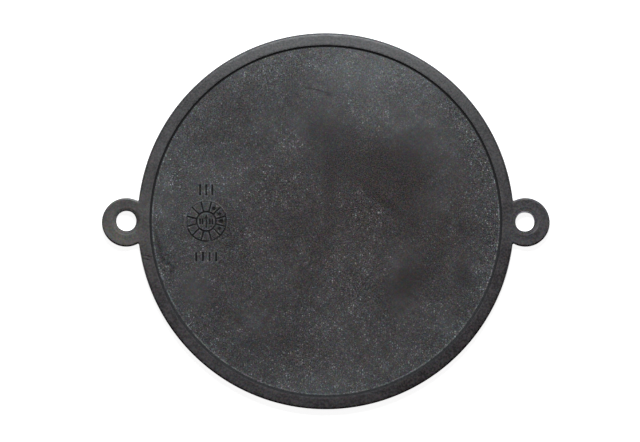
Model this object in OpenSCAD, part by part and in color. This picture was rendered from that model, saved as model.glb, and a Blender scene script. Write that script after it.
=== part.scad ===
// Moulded rubber diaphragm for a small expansion vessel or water valve.
// It is one piece: a thin flat web inside a raised clamping rim, with two screw lugs on the rim's sides.
// Millimetres. The part lies on its back: +Z is up out of the front, X runs through both screw holes,
// and the origin is the centre of the back face that the bead stands on.

/* [Disc] */
// Diameter over the clamping rim
disc_d = 74; // [50:1:120]
// Width of the clamping rim, seen on the front
rim_w = 2.4; // [1.6:0.1:5]
// Width of the sealing bead, seen on the back
bead_w = 2.8; // [1.8:0.1:5]
// Thickness of the flexing web
web_t = 1.7; // [1:0.1:3]
// Height of the rim above the front of the web
rim_step = 0.5; // [0.3:0.05:1]
// Height of the bead below the back of the web
bead_step = 1; // [0.6:0.05:2]
// Width of the groove in the web at the foot of the rim, on the front
foot_w = 0.4; // [0.2:0.05:0.6]
// Depth of that groove at the rim's wall
foot_drop = 0.2; // [0.1:0.05:0.4]

/* [Edges] */
// Rounding of the rim's outer front corner
rim_round = 0.4; // [0.1:0.05:0.6]
// Rounding of the rim's inner front edge
lip_round = 0.05; // [0.05:0.01:0.25]
// Rounding of the bead's two back corners
bead_round = 0.45; // [0.1:0.05:0.6]
// Fillet where the web runs into the bead, on the back
web_fillet = 0.5; // [0.1:0.05:0.5]

/* [Screw lugs] */
// Distance of a screw hole's axis out from the edge of the rim
lug_reach = 2.2; // [1:0.05:3]
// Diameter of a lug
lug_d = 9.6; // [8:0.1:14]
// Thickness of a lug, down from the front of the rim
lug_t = 2.4; // [1.2:0.1:2.4]
// Diameter of the screw hole
hole_d = 4.2; // [3:0.1:5]
// Width of the shallow seat round the screw hole
seat_w = 0.6; // [0.3:0.05:1.2]
// Depth of that seat
seat_drop = 0.1; // [0.1:0.05:0.5]
// Rounding of a lug's front edge
lug_round = 0.15; // [0.05:0.05:0.4]
// Rounding of a lug's back edge
lug_back_round = 0.3; // [0.1:0.05:0.5]
// Fillet in the corner where a lug leaves the rim, seen from the front
root_fillet = 0.2; // [0.2:0.1:1.5]

/* [Date dial] */
// Diameter of the dial's outer ring, along the middle of its line
dial_d = 7.8; // [5:0.1:10]
// Distance of the dial's centre in from the rim's inner wall
dial_inset = 11.1; // [7:0.1:14]
// Diameter of the dial's hub ring, along the middle of its line
hub_d = 3.8; // [3.6:0.1:4.4]
// Number of months on the dial
months = 12; // [6:1:16]
// Number of months that are marked with a dot, clockwise from the top
marked_months = 4; // [0:1:5]
// Width of an engraved line
line_w = 0.28; // [0.15:0.01:0.35]
// Depth of an engraved line
line_drop = 0.25; // [0.1:0.05:0.4]
// Depth of a dot at its middle
dot_drop = 0.28; // [0.1:0.01:0.3]
// Diameter of a month's dot
month_dot_d = 0.9; // [0.5:0.05:1]
// Length of the hub's arrow
arrow_l = 2.6; // [1.2:0.1:2.8]
// Width of the arrow's head, which is as long as it is wide
arrow_w = 0.8; // [0.5:0.05:1.2]
// Width of the arrow's shaft
arrow_shaft_w = 0.2; // [0.15:0.01:0.35]
// Length of the two pairs of strokes that stand beside the arrow
year_stroke_l = 1.1; // [0.6:0.1:1.4]
// Distance from the arrow to the middle of either pair
year_offset = 0.95; // [0.8:0.05:1]
// Distance between the two strokes of a pair
year_pitch = 0.5; // [0.4:0.05:0.55]

/* [Cavity marks] */
// Width of a tally stroke
stroke_w = 0.36; // [0.2:0.02:0.5]
// Distance from the edge of the dial to the upper row
upper_gap = 1.2; // [0.6:0.05:3]
// Length of the strokes in the upper row
upper_l = 2.15; // [1:0.05:2.5]
// Distance between neighbouring strokes in the upper row
upper_pitch = 1.2; // [0.8:0.05:2]
// Number of strokes in the upper row
upper_strokes = 3; // [0:1:4]
// Distance from the edge of the dial to the lower row
lower_gap = 2.15; // [0.6:0.05:3]
// Length of the strokes in the lower row
lower_l = 1.8; // [1:0.05:2.5]
// Distance between neighbouring strokes in the lower row
lower_pitch = 1.3; // [0.8:0.05:2]
// Number of strokes in the lower row
lower_strokes = 4; // [0:1:4]

/* [Hidden] */
$fn = 180;
dimple_fn = 48;
rubber_colour = [0.17, 0.17, 0.18];
overshoot = 0.1;

disc_r = disc_d / 2;
rim_t = bead_step + web_t + rim_step;
face_z = rim_t - rim_step;
front_recess_r = disc_r - rim_w;
back_recess_r = disc_r - bead_w;
lug_r = lug_d / 2;
hole_r = hole_d / 2;
seat_r = hole_r + seat_w;
lug_axis_x = disc_r + lug_reach;
lug_back_z = rim_t - lug_t;
dial_x = dial_inset - front_recess_r;
month_step = 360 / months;

// The corner of a square block that lies outside its rounding, for a corner at the origin
// whose material fills the first quadrant.
module outside_of_round(radius) {
  difference() {
    translate([-overshoot, -overshoot]) square(radius + overshoot);
    translate([radius, radius]) circle(radius);
  }
}

// Half section of a ring or disc from r_in to r_out and from z_low to z_high, with a rounding for
// each corner: inner low, outer low, outer high, inner high.
module section(r_in, r_out, z_low, z_high, rounds = [0, 0, 0, 0]) {
  corners = [[r_in, z_low, 0, 0], [r_out, z_low, 1, 0], [r_out, z_high, 1, 1], [r_in, z_high, 0, 1]];
  difference() {
    translate([r_in, z_low]) square([r_out - r_in, z_high - z_low]);
    for (i = [0:3])
      if (rounds[i] > 0)
        translate([corners[i][0], corners[i][1]])
          mirror([corners[i][2], 0])
            mirror([0, corners[i][3]])
              outside_of_round(rounds[i]);
  }
}

// Half section of the web, the rim in front of it and the bead behind it.
module disc_section() {
  lip = min(lip_round, rim_step / 2);
  fillet = min(web_fillet, bead_step / 2);
  section(0, disc_r - rim_w / 2, bead_step, face_z);
  section(front_recess_r, disc_r, face_z - web_t / 2, rim_t, [0, 0, rim_round, lip]);
  section(back_recess_r, disc_r, 0, face_z, [min(bead_round, bead_step / 2), bead_round, 0, 0]);
  translate([back_recess_r, bead_step]) mirror([1, 0]) mirror([0, 1]) outside_of_round(fillet);
}

// One lug's round pad, with its edges rounded.
module lug_pad() {
  rotate_extrude() section(0, lug_r, lug_back_z, rim_t, [0, lug_back_round, lug_round, 0]);
}

// Fills the corner between the rim and a lug with a fillet that is tangent to both, on one side of the lug.
module lug_root() {
  reach = disc_r + root_fillet;
  swing = acos((pow(lug_axis_x, 2) + pow(reach, 2) - pow(lug_r + root_fillet, 2)) / (2 * lug_axis_x * reach));
  fillet_centre = reach * [cos(swing), sin(swing)];
  rim_anchor = (disc_r - rim_w / 2) * [cos(swing), sin(swing)];
  translate([0, 0, lug_back_z])
    difference() {
      linear_extrude(lug_t) polygon([rim_anchor, [lug_axis_x, 0], fillet_centre]);
      translate([fillet_centre.x, fillet_centre.y, -overshoot])
        cylinder(r = root_fillet, h = lug_t + 2 * overshoot);
    }
}

module lug() {
  translate([lug_axis_x, 0, 0]) lug_pad();
  lug_root();
  mirror([0, 1, 0]) lug_root();
}

// The screw hole through a lug and the shallow seat at its mouth.
module screw_hole() {
  translate([lug_axis_x, 0, -overshoot]) cylinder(r = hole_r, h = rim_t + 2 * overshoot);
  translate([lug_axis_x, 0, rim_t - seat_drop]) cylinder(r = seat_r, h = seat_drop + overshoot);
}

// The space inside the rim, kept clear of the lugs and of their roots. The groove at its foot is deepest
// at the rim's wall and runs out into the web.
module front_recess() {
  recess_top = rim_t + overshoot;
  rotate_extrude()
    polygon([
      [0, face_z],
      [front_recess_r - foot_w, face_z],
      [front_recess_r, face_z - foot_drop],
      [front_recess_r, recess_top],
      [0, recess_top]
    ]);
}

// A ball that presses a dimple of a given diameter and depth into a face at z = 0.
module dimple(diameter, depth) {
  ball_r = (pow(diameter / 2, 2) + pow(depth, 2)) / (2 * depth);
  translate([0, 0, ball_r - depth]) sphere(ball_r, $fn = dimple_fn);
}

// An engraved ring, along the middle of its line.
module ring_line(diameter) {
  difference() {
    cylinder(d = diameter + line_w, h = line_drop + overshoot);
    translate([0, 0, -overshoot]) cylinder(d = diameter - line_w, h = line_drop + 3 * overshoot);
  }
}

// The dial that dates the moulding: two rings, a line between each two months, a dot in each marked
// month, and in the hub an arrow between two pairs of strokes. It cuts into a face at z = 0.
module date_dial() {
  translate([0, 0, -line_drop]) {
    ring_line(dial_d);
    ring_line(hub_d);
    for (i = [0:months - 1])
      rotate((i + 0.5) * month_step)
        translate([hub_d / 2, -line_w / 2, 0])
          cube([(dial_d - hub_d) / 2, line_w, line_drop + overshoot]);
    linear_extrude(line_drop + overshoot) arrow();
  }
  for (i = [1:1:marked_months])
    rotate(90 - i * month_step)
      translate([(dial_d + hub_d) / 4, 0, 0])
        dimple(month_dot_d, dot_drop);
  for (side = [-1, 1])
    translate([side * year_offset, -year_stroke_l / 2, 0])
      stroke_row(2, year_stroke_l, line_w, year_pitch);
}

// The hub's arrow: a shaft with a head that points to the top of the dial.
module arrow() {
  tip_y = min(arrow_l, hub_d - 3 * line_w) / 2;
  head_y = tip_y - arrow_w;
  translate([-arrow_shaft_w / 2, -tip_y]) square([arrow_shaft_w, tip_y + head_y + overshoot]);
  polygon([[0, tip_y], [-arrow_w / 2, head_y], [arrow_w / 2, head_y]]);
}

// A row of upright strokes that stands on y = 0, with its middle at x = 0. It cuts into a face at z = 0.
module stroke_row(count, length, width, pitch) {
  for (i = [1:1:count])
    translate([(i - (count + 1) / 2) * pitch - width / 2, 0, -line_drop])
      cube([width, length, line_drop + overshoot]);
}

module face_marks() {
  translate([dial_x, 0, face_z]) {
    date_dial();
    translate([0, dial_d / 2 + upper_gap, 0])
      stroke_row(upper_strokes, upper_l, stroke_w, upper_pitch);
    translate([0, -dial_d / 2 - lower_gap - lower_l, 0])
      stroke_row(lower_strokes, lower_l, stroke_w, lower_pitch);
  }
}

module diaphragm() {
  color(rubber_colour)
    difference() {
      union() {
        rotate_extrude() disc_section();
        lug();
        mirror([1, 0, 0]) lug();
      }
      front_recess();
      screw_hole();
      mirror([1, 0, 0]) screw_hole();
      face_marks();
    }
}

diaphragm();
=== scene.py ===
# %% [markdown]
# A moulded rubber diaphragm, seen from above on a white table.
# The real part is one piece of black rubber: a thin web that flexes, a raised rim that gets clamped,
# and two lugs that the housing's screws pass through.
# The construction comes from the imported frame, and this lesson gives it a skin: soft mould edges, an
# engraved date dial, dust, scuffs and a satin sheen.
# Blender works in metres and a mould maker in millimetres, so MM stands for one millimetre.

import math

import bpy
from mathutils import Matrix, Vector, noise
from mathutils.geometry import delaunay_2d_cdt


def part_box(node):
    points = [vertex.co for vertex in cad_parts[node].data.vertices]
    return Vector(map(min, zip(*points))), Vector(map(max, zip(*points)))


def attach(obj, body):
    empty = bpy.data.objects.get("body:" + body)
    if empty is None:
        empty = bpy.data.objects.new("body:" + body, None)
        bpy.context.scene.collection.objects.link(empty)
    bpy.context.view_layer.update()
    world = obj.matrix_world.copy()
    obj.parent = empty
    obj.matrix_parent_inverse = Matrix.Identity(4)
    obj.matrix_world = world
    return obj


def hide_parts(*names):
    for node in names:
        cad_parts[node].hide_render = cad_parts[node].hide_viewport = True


MM = 0.001

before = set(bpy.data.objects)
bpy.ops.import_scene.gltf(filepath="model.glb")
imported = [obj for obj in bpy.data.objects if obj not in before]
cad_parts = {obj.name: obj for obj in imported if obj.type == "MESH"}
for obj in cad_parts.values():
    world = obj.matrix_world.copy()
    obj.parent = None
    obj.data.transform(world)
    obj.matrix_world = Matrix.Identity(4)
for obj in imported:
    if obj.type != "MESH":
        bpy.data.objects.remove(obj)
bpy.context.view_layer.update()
part_low, part_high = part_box("diaphragm")

# %% [markdown]
# The photograph looks almost straight down, from a little above the middle of the disc: the screw holes show
# a sliver of their lower walls, and the disc's outline is as high as it is wide.
# A short lens close by would spread the walls of the screw holes outwards. The photo shows no such spread,
# so the camera is a long lens far away, and its distance follows from how much of the table it takes in.

# %% Camera
PHOTO_W_PX = 640
PX_PER_MM = 5.088
DISC_CENTRE_PX = (325.8, 221.2)
PHOTO_MIDDLE_PX = (320.0, 221.0)
CAMERA_TILT = math.radians(-2)
LENS_MM = 400
SENSOR_MM = 36
FAR_CLIP = 10

view_w = PHOTO_W_PX / PX_PER_MM * MM
camera_distance = view_w * LENS_MM / SENSOR_MM
aim = Vector((
    (PHOTO_MIDDLE_PX[0] - DISC_CENTRE_PX[0]) / PX_PER_MM * MM,
    (DISC_CENTRE_PX[1] - PHOTO_MIDDLE_PX[1]) / PX_PER_MM * MM,
    part_high.z / 2,
))
camera_data = bpy.data.cameras.new("studio_camera")
camera_data.lens = LENS_MM
camera_data.sensor_width = SENSOR_MM
camera_data.clip_end = FAR_CLIP
camera = bpy.data.objects.new("studio_camera", camera_data)
camera.location = aim + camera_distance * Vector((0, -math.sin(CAMERA_TILT), math.cos(CAMERA_TILT)))
camera.rotation_euler = (CAMERA_TILT, 0, 0)
bpy.context.scene.collection.objects.link(camera)
bpy.context.scene.camera = camera
print("camera", round(camera_distance / MM), "mm away, the view is", round(view_w / MM, 1), "mm wide")

# %% [markdown]
# Every finish below is a chain of nodes, so three small helpers keep the chains short: one adds a node and
# plugs in its inputs, one squeezes a value into a new range, and one does sums with two or more values.

# %% Node helpers
def add_node(tree, kind, inputs=None, **settings):
    """Adds a node, and plugs a socket or sets a number into each input that is named."""
    node = tree.nodes.new(kind)
    for name, value in settings.items():
        setattr(node, name, value)
    for key, value in (inputs or {}).items():
        if isinstance(value, bpy.types.NodeSocket):
            tree.links.new(value, node.inputs[key])
        else:
            node.inputs[key].default_value = value
    return node


def remap(tree, value, low, high, to_low=0.0, to_high=1.0):
    """Squeezes the range from low to high into a new range, with soft ends."""
    limits = {"From Min": low, "From Max": high, "To Min": to_low, "To Max": to_high}
    ranged = add_node(tree, "ShaderNodeMapRange", {"Value": value, **limits}, interpolation_type="SMOOTHSTEP")
    return ranged.outputs["Result"]


def calc(tree, operation, first, *others, clamp=False):
    """Does one kind of sum from left to right. Clamped, each result stays between 0 and 1."""
    for other in others or (0.0,):
        step = add_node(tree, "ShaderNodeMath", {0: first, 1: other}, operation=operation, use_clamp=clamp)
        first = step.outputs[0]
    return first


print("helpers: add_node, remap, calc")

# %% [markdown]
# The table is a plain pale sheet. In the photo it is burnt out to pure white, but its light must not fall
# on the rubber, or the black would turn grey.
# So the sheet has two parts: an ordinary matt surface that takes the shadow, and a glow that only the
# camera and reflections can see.

# %% Floor
FLOOR_HALF = 4.0
FLOOR_COLOUR = (0.8, 0.8, 0.8, 1)
FLOOR_GLOW = 0.88

floor_mesh = bpy.data.meshes.new("table")
floor_mesh.from_pydata(
    [(-FLOOR_HALF, -FLOOR_HALF, 0), (FLOOR_HALF, -FLOOR_HALF, 0),
     (FLOOR_HALF, FLOOR_HALF, 0), (-FLOOR_HALF, FLOOR_HALF, 0)],
    [], [(0, 1, 2, 3)])
floor = bpy.data.objects.new("table", floor_mesh)
bpy.context.scene.collection.objects.link(floor)


def table_white():
    material = bpy.data.materials.new("table_white")
    material.use_nodes = True
    tree = material.node_tree
    tree.nodes.clear()
    rays = add_node(tree, "ShaderNodeLightPath")
    kinds = [rays.outputs[f"Is {kind} Ray"] for kind in ("Camera", "Glossy", "Transmission")]
    glow = calc(tree, "MULTIPLY", calc(tree, "ADD", *kinds, clamp=True), FLOOR_GLOW)
    matt = add_node(tree, "ShaderNodeBsdfDiffuse", {"Color": FLOOR_COLOUR})
    shine = add_node(tree, "ShaderNodeEmission", {"Strength": glow})
    both = add_node(tree, "ShaderNodeAddShader", {0: matt.outputs[0], 1: shine.outputs[0]})
    add_node(tree, "ShaderNodeOutputMaterial", {"Surface": both.outputs[0]})
    return material


floor_mesh.materials.append(table_white())
print("table", FLOOR_HALF * 2, "m wide")

# %% [markdown]
# The light in the photo comes from the top of the picture: the rim is light grey there and nearly black at
# the bottom, and its outer edge has a light line at the top and a dark one at the bottom.
# Three lamps could share that out, but one lamp that is near falls off across the part and gives the change
# of tone by itself. So a soft box stands close to the upper edge, and a dim world fills the shadows.
# The upper half of the photo is a touch cooler than the lower one, so the box is cooler than the world.

# %% Lamps
KEY_PLACE = Vector((0.001, 0.11, 0.21))
KEY_AIM = Vector((0, 0.01, 0))
KEY_SIZE = 0.09
KEY_WATTS = 0.62
KEY_COLOUR = (0.975, 1.0, 1.03)
FILL_GREY = 0.11
FILL_COLOUR = (1.03, 0.985, 1.0, 1)

bpy.context.scene.view_settings.view_transform = "Standard"
world = bpy.data.worlds.new("studio")
world.use_nodes = True
world.node_tree.nodes["Background"].inputs["Color"].default_value = FILL_COLOUR
world.node_tree.nodes["Background"].inputs["Strength"].default_value = FILL_GREY
bpy.context.scene.world = world


def soft_box(name, place, target, size, watts, colour):
    lamp = bpy.data.lights.new(name, "AREA")
    lamp.shape = "RECTANGLE"
    lamp.size = size
    lamp.size_y = size
    lamp.energy = watts
    lamp.color = colour
    holder = bpy.data.objects.new(name, lamp)
    holder.location = place
    holder.rotation_euler = (target - place).to_track_quat("-Z", "Y").to_euler()
    bpy.context.scene.collection.objects.link(holder)
    return holder


soft_box("key", KEY_PLACE, KEY_AIM, KEY_SIZE, KEY_WATTS, KEY_COLOUR)
print("key lamp", round((KEY_PLACE - KEY_AIM).length / MM), "mm from the part")

# %% [markdown]
# The mould's sizes. The outer ones are read from the frame, so the skin always fits the construction, and
# the small ones repeat the construction's own numbers. Only LUG_LOW, how far the lugs sit below the middle of
# the disc, comes straight from the photo.
# The skin is drawn in millimetres, and the finished mesh is turned into metres in one step.

# %% Sizes of the moulding
disc_r = (part_high.y - part_low.y) / 2 / MM
rim_top = part_high.z / MM
LUG_R = 4.8
lug_x = part_high.x / MM - LUG_R
LUG_LOW = 0.2
ROOT_FILLET = 0.2
FRONT_ROUND = 0.4
LUG_FRONT_ROUND = 0.15
RIM_W = 2.4
RIM_STEP = 0.5
WEB_T = 1.7
BEAD_W = 2.8
BEAD_ROUND = 0.45
WEB_FILLET = 0.5
LUG_T = 2.4
LUG_BACK_ROUND = 0.3
HOLE_R = 2.1
SEAT_W = 0.6

web_top = rim_top - RIM_STEP
web_back = web_top - WEB_T
lug_back = rim_top - LUG_T
recess_r = disc_r - RIM_W
print("disc", round(disc_r * 2, 2), "mm, rim", round(rim_top, 2), "mm high, lugs at", round(lug_x, 2), "mm")

# %% [markdown]
# The outline is a chain of arcs: the disc, a lug on each side, and a small hollow fillet where they meet.
# It could be traced point by point, but arcs can also be moved inwards by an exact amount: the round
# parts shrink, the hollow fillets grow, and they stay tangent. That gives every ring of a rounded edge.
# In the photo both lugs sit a little lower than the disc's middle, so each is swung down by a fraction of
# a degree. The left half mirrors the right one.

# %% Outline of disc and lugs
FLASH = 0.04
ARC_STEP = 0.25
FILLET_STEP = 0.04

root_reach = disc_r + ROOT_FILLET
root_cos = (lug_x ** 2 + root_reach ** 2 - (LUG_R + ROOT_FILLET) ** 2) / (2 * lug_x * root_reach)
root_swing = math.acos(root_cos)
root_x = root_reach * math.cos(root_swing)
root_y = root_reach * math.sin(root_swing)
lug_swing = math.atan2(root_y, root_x - lug_x)
lug_bearing = -math.asin(LUG_LOW / lug_x)


def arc(x, y, radius, start, end, steps):
    """Points of an arc about x, y, without its last one."""
    angles = [start + (end - start) * i / steps for i in range(steps)]
    return [(x + radius * math.cos(a), y + radius * math.sin(a)) for a in angles]


def turned(x, y, angle):
    """A place swung about the disc's axis."""
    return x * math.cos(angle) - y * math.sin(angle), x * math.sin(angle) + y * math.cos(angle)


def outline(inset):
    """The edge of the moulding moved inwards, anticlockwise from the bottom of the disc."""
    half_turn = math.pi
    disc_steps = round((half_turn / 2 - root_swing) * disc_r / ARC_STEP)
    lug_steps = round(2 * lug_swing * LUG_R / ARC_STEP)
    fillet_steps = round((lug_swing - root_swing) * ROOT_FILLET / FILLET_STEP)
    rim_r = disc_r - inset
    hollow_r = ROOT_FILLET + inset
    half = arc(0, 0, rim_r, -half_turn / 2 - lug_bearing, -root_swing, disc_steps)
    half += arc(root_x, -root_y, hollow_r, -root_swing - half_turn, -lug_swing - half_turn, fillet_steps)
    half += arc(lug_x, 0, LUG_R - inset, -lug_swing, lug_swing, lug_steps)
    half += arc(root_x, root_y, hollow_r, lug_swing + half_turn, root_swing + half_turn, fillet_steps)
    half += arc(0, 0, rim_r, root_swing, half_turn / 2 - lug_bearing, disc_steps)
    right = [turned(x, y, lug_bearing) for x, y in half]
    left = [(-x, y) for x, y in reversed(right[1:])]
    return right + [(0.0, rim_r)] + left


edge = outline(FLASH)
print("outline of", len(edge), "points")

# %% [markdown]
# The skin is drawn as a height over a plan: for every place on the plan, one rule says how high the front
# is there, and another how high the back is.
# The edges could be bevelled with a modifier, but a rule can round each edge by its own radius, and the
# engraving, the dents and the waves are simply added to it.

# %% Rules for edges
def edge_distance(x, y):
    """How far a place lies inside the edge of the moulding."""
    x, y = turned(abs(x), y, -lug_bearing)
    y = abs(y)
    direction = math.atan2(y - root_y, x - root_x) % (2 * math.pi)
    if root_swing + math.pi <= direction <= lug_swing + math.pi:
        return math.hypot(x - root_x, y - root_y) - ROOT_FILLET
    return max(disc_r - math.hypot(x, y), LUG_R - math.hypot(x - lug_x, y))


def round_over(distance, radius):
    """How far a rounded edge has dropped, at a distance in from its wall."""
    if distance >= radius:
        return 0.0
    return radius - math.sqrt(max(0.0, radius ** 2 - (radius - distance) ** 2))


def quarter_round(radius, steps=5):
    """Distances in from a wall at which a rounded edge gets a ring."""
    return [radius * (1 - math.cos(math.pi / 2 * i / steps)) for i in range(1, steps + 1)]


def along(section, distance):
    """The height of a section, given as (distance, height) pairs, at a distance."""
    if distance <= section[0][0]:
        return section[0][1]
    for (d0, h0), (d1, h1) in zip(section, section[1:]):
        if distance <= d1:
            return h0 + (h1 - h0) * (distance - d0) / (d1 - d0)
    return section[-1][1]


def soften(value):
    """Smooth step from 0 to 1."""
    value = min(1.0, max(0.0, value))
    return value * value * (3 - 2 * value)


print("an edge of", FRONT_ROUND, "mm has rings at", [round(d, 3) for d in quarter_round(FRONT_ROUND)])

# %% [markdown]
# The step from the rim down to the web, and the bead on the back, are sections turned round the disc's axis.
# Each is a short list of distances and heights, worked out from its roundings. A turned section could be spun
# by a modifier, but as a rule it also takes the faults and the lugs.
# At the foot of the step runs a narrow groove, deepest at the wall. A plain step would throw a shadow at the
# top of the picture only, but the photo has a dark line nearly all the way round, and a groove draws that.

# %% Sections of the step and the bead
LIP_ROUND = 0.05
FOOT_W = 0.4
FOOT_DROP = 0.2
FOOT_CORNER = (0.04, 0.02)
SHOULDER_ROUND = 0.1
SHOULDER_DEPTHS = (0.3, 0.08)
DRAFT = 0.02
QUARTER = [math.pi / 2 * i / 4 for i in range(5)]

step_section = [(LIP_ROUND * (math.sin(a) - 1), LIP_ROUND * (math.cos(a) - 1)) for a in QUARTER]
step_section += [
    (DRAFT, -RIM_STEP - FOOT_DROP + FOOT_CORNER[1]), (DRAFT + FOOT_CORNER[0], -RIM_STEP - FOOT_DROP),
    (FOOT_W - SHOULDER_ROUND, -RIM_STEP - FOOT_DROP * SHOULDER_DEPTHS[0]),
    (FOOT_W, -RIM_STEP - FOOT_DROP * SHOULDER_DEPTHS[1]), (FOOT_W + SHOULDER_ROUND, -RIM_STEP)]
step_end = step_section[-1][0]

bead_in = BEAD_W - BEAD_ROUND
bead_section = [(bead_in + BEAD_ROUND * math.sin(a), BEAD_ROUND * (1 - math.cos(a))) for a in QUARTER]
bead_section += [
    (BEAD_W + DRAFT + WEB_FILLET * (1 - math.cos(a)), web_back - WEB_FILLET * (1 - math.sin(a)))
    for a in QUARTER]
print("step", [(round(d, 2), round(h, 2)) for d, h in step_section])
print("bead", [(round(d, 2), round(h, 2)) for d, h in bead_section])

# %% [markdown]
# The dial dates the moulding: a steel insert in the mould with twelve months, a dot for each month that has
# been punched, and a hub with an arrow and strokes for the year. It prints into the rubber as fine grooves.
# The insert's edge has also left a low ridge round the dial, which catches the light. These are the sizes of
# all that, in one place.

# %% Sizes of the date dial
DIAL_INSET = 11.1
DIAL_R = 3.9
HUB_R = 1.9
MONTHS = 12
MARKED_MONTHS = 4
LINE_W = 0.28
LINE_DROP = 0.25
ARROW_TIP = 1.3
ARROW_HEAD = 0.8
ARROW_SHAFT_W = 0.2
YEAR_STROKE_H = 1.1
YEAR_STROKE_X = (0.7, 1.2)
MONTH_DOT_D = 0.9
DOT_DROP = 0.28
RIDGE_R = 4.18
RIDGE_HALF_W = 0.16
RIDGE_H = 0.06

dial_x = DIAL_INSET - recess_r
month_turn = 2 * math.pi / MONTHS
dots = []
for month in range(1, MARKED_MONTHS + 1):
    angle = math.pi / 2 - month * month_turn
    dots.append(((DIAL_R + HUB_R) / 2 * math.cos(angle), (DIAL_R + HUB_R) / 2 * math.sin(angle)))
print("dial of", MONTHS, "months at", round(dial_x, 2), "mm, with", len(dots), "dots")

# %% [markdown]
# The dial could be cut with a boolean, but that leaves sharp and even walls. Here a groove is a rule on the
# distance from its middle line, so rings, spokes, arrow and strokes share one rule with soft shoulders.
# A rubber print is never even: the depth of every cut comes and goes a little, and the outer ring has hardly
# printed on its upper side.

# %% Rules for the date dial
GROOVE_FLOOR = 0.45
GROOVE_SHOULDER = 0.8
PRINT_DEPTH = (0.5, 1.15)
PRINT_CLOUD = 1.3
PRINT_CONTRAST = 1.1
RING_PRINT = (0.8, 0.3)
FAINT_SIDE = math.radians(100)


def groove(gap, half_w):
    """1 in the middle of a groove, 0 outside it, with soft shoulders."""
    return 1 - soften((gap - half_w * GROOVE_FLOOR) / (half_w * GROOVE_SHOULDER))


def dent(x, y, diameter):
    """1 in the middle of a round dent, 0 outside it."""
    return max(0.0, 1 - (x * x + y * y) / (diameter / 2) ** 2)


def arrow_gap(x, y):
    """Distance outside the hub's arrow, or less than 0 inside it."""
    head_base = ARROW_TIP - ARROW_HEAD
    slope = math.atan2(ARROW_HEAD, ARROW_HEAD / 2)
    head = max((abs(x) * math.sin(slope) + (y - ARROW_TIP) * math.cos(slope)), head_base - y)
    shaft = max(abs(x) - ARROW_SHAFT_W / 2, abs(y) - ARROW_TIP)
    return min(head, shaft)


def wave(x, y, length, seed):
    """Noise from about -1 to 1, whose humps are as wide as the length says."""
    return noise.noise(Vector((x / length, y / length, seed)))


def print_depth(x, y):
    """How well the mould has printed at a place, where 1 is the full depth."""
    low, high = PRINT_DEPTH
    return low + (high - low) * soften(0.5 + PRINT_CONTRAST * wave(x, y, PRINT_CLOUD, seed=5.9))


def facing(x, y, towards, sideways, swing):
    """From 0 to 1, how far a place lies towards a direction, with the amount at right angles to it."""
    return soften(sideways + swing * math.cos(math.atan2(y, x) - towards))


def faint_side(x, y):
    """1 on the side of the dial where its outer ring has hardly printed, 0 on the opposite side."""
    return facing(x, y, FAINT_SIDE, sideways=0.6, swing=0.8)


def dial_gap(x, y):
    """Distance from the nearest line inside the outer ring, at a place measured from the dial's centre."""
    r = math.hypot(x, y)
    gap = abs(r - HUB_R)
    if HUB_R < r < DIAL_R:
        off_line = (math.atan2(y, x) % month_turn) - month_turn / 2
        gap = min(gap, abs(r * math.sin(off_line)))
    if r < HUB_R:
        year = max(min(abs(abs(x) - sx) for sx in YEAR_STROKE_X), abs(y) - YEAR_STROKE_H / 2 + LINE_W / 2)
        gap = min(gap, arrow_gap(x, y) + LINE_W / 2, year)
    return gap


def dial_drop(x, y):
    """Depth of the dial's engraving at a place measured from its centre."""
    clear, faint = RING_PRINT
    ring = groove(abs(math.hypot(x, y) - DIAL_R), LINE_W / 2)
    ring *= clear + (faint - clear) * faint_side(x, y)
    cut = LINE_DROP * max(ring, groove(dial_gap(x, y), LINE_W / 2))
    punched = max(dent(x - dx, y - dy, MONTH_DOT_D) for dx, dy in dots)
    ridge = RIDGE_H * groove(abs(math.hypot(x, y) - RIDGE_R), RIDGE_HALF_W)
    return max(cut, DOT_DROP * punched) * print_depth(x, y) - ridge


for side, word in ((1, "top"), (-1, "bottom")):
    print("outer ring cut", round(dial_drop(0, side * DIAL_R), 2), "mm deep at its", word)

# %% [markdown]
# Above and below the dial stand marks for the cavity of the mould that the part came from: plain tally
# strokes, in two rows. A stroke is the same groove as the dial's lines, so it needs only its own distance.

# %% Cavity marks
STROKE_W = 0.36
UPPER_ROW = {"side": 1, "gap": 1.2, "height": 2.15, "pitch": 1.2, "count": 3}
LOWER_ROW = {"side": -1, "gap": 2.15, "height": 1.8, "pitch": 1.3, "count": 4}

strokes = []
for row in (UPPER_ROW, LOWER_ROW):
    row_y = row["side"] * (DIAL_R + row["gap"] + row["height"] / 2)
    for i in range(row["count"]):
        strokes.append((dial_x + (i - (row["count"] - 1) / 2) * row["pitch"], row_y, row["height"]))


def stroke_gap(x, y):
    """Distance from the middle of the nearest tally stroke."""
    return min(max(abs(x - sx), abs(y - sy) - height / 2 + STROKE_W / 2) for sx, sy, height in strokes)


def stroke_drop(x, y):
    """Depth of the tally strokes at a place."""
    return LINE_DROP * groove(stroke_gap(x, y), STROKE_W / 2) * print_depth(x, y)


print("strokes at", [(round(x, 2), round(y, 2)) for x, y, _ in strokes])

# %% [markdown]
# Each lug has a shallow seat round its hole. In the photo it is a fine line, dark above the hole and light
# below it, so the seat's wall is a soft slope here, and full depth is reached only at the hole.
# Two short lists give places and heights, one outwards from the hole's wall and one from the seat's own edge.
# Beside each bend stands a second point on the flat, so that smooth shading doesn't make it look hollow.

# %% Screw seats
HOLE_EDGE = [(0.0, -0.12), (0.01, -0.09), (0.04, -0.065), (0.1, -0.055)]
SEAT_WALL = [(-0.3, -0.055), (-0.25, -0.0506), (0.0, -0.00825), (0.05, 0.0), (0.12, 0.0)]

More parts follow.
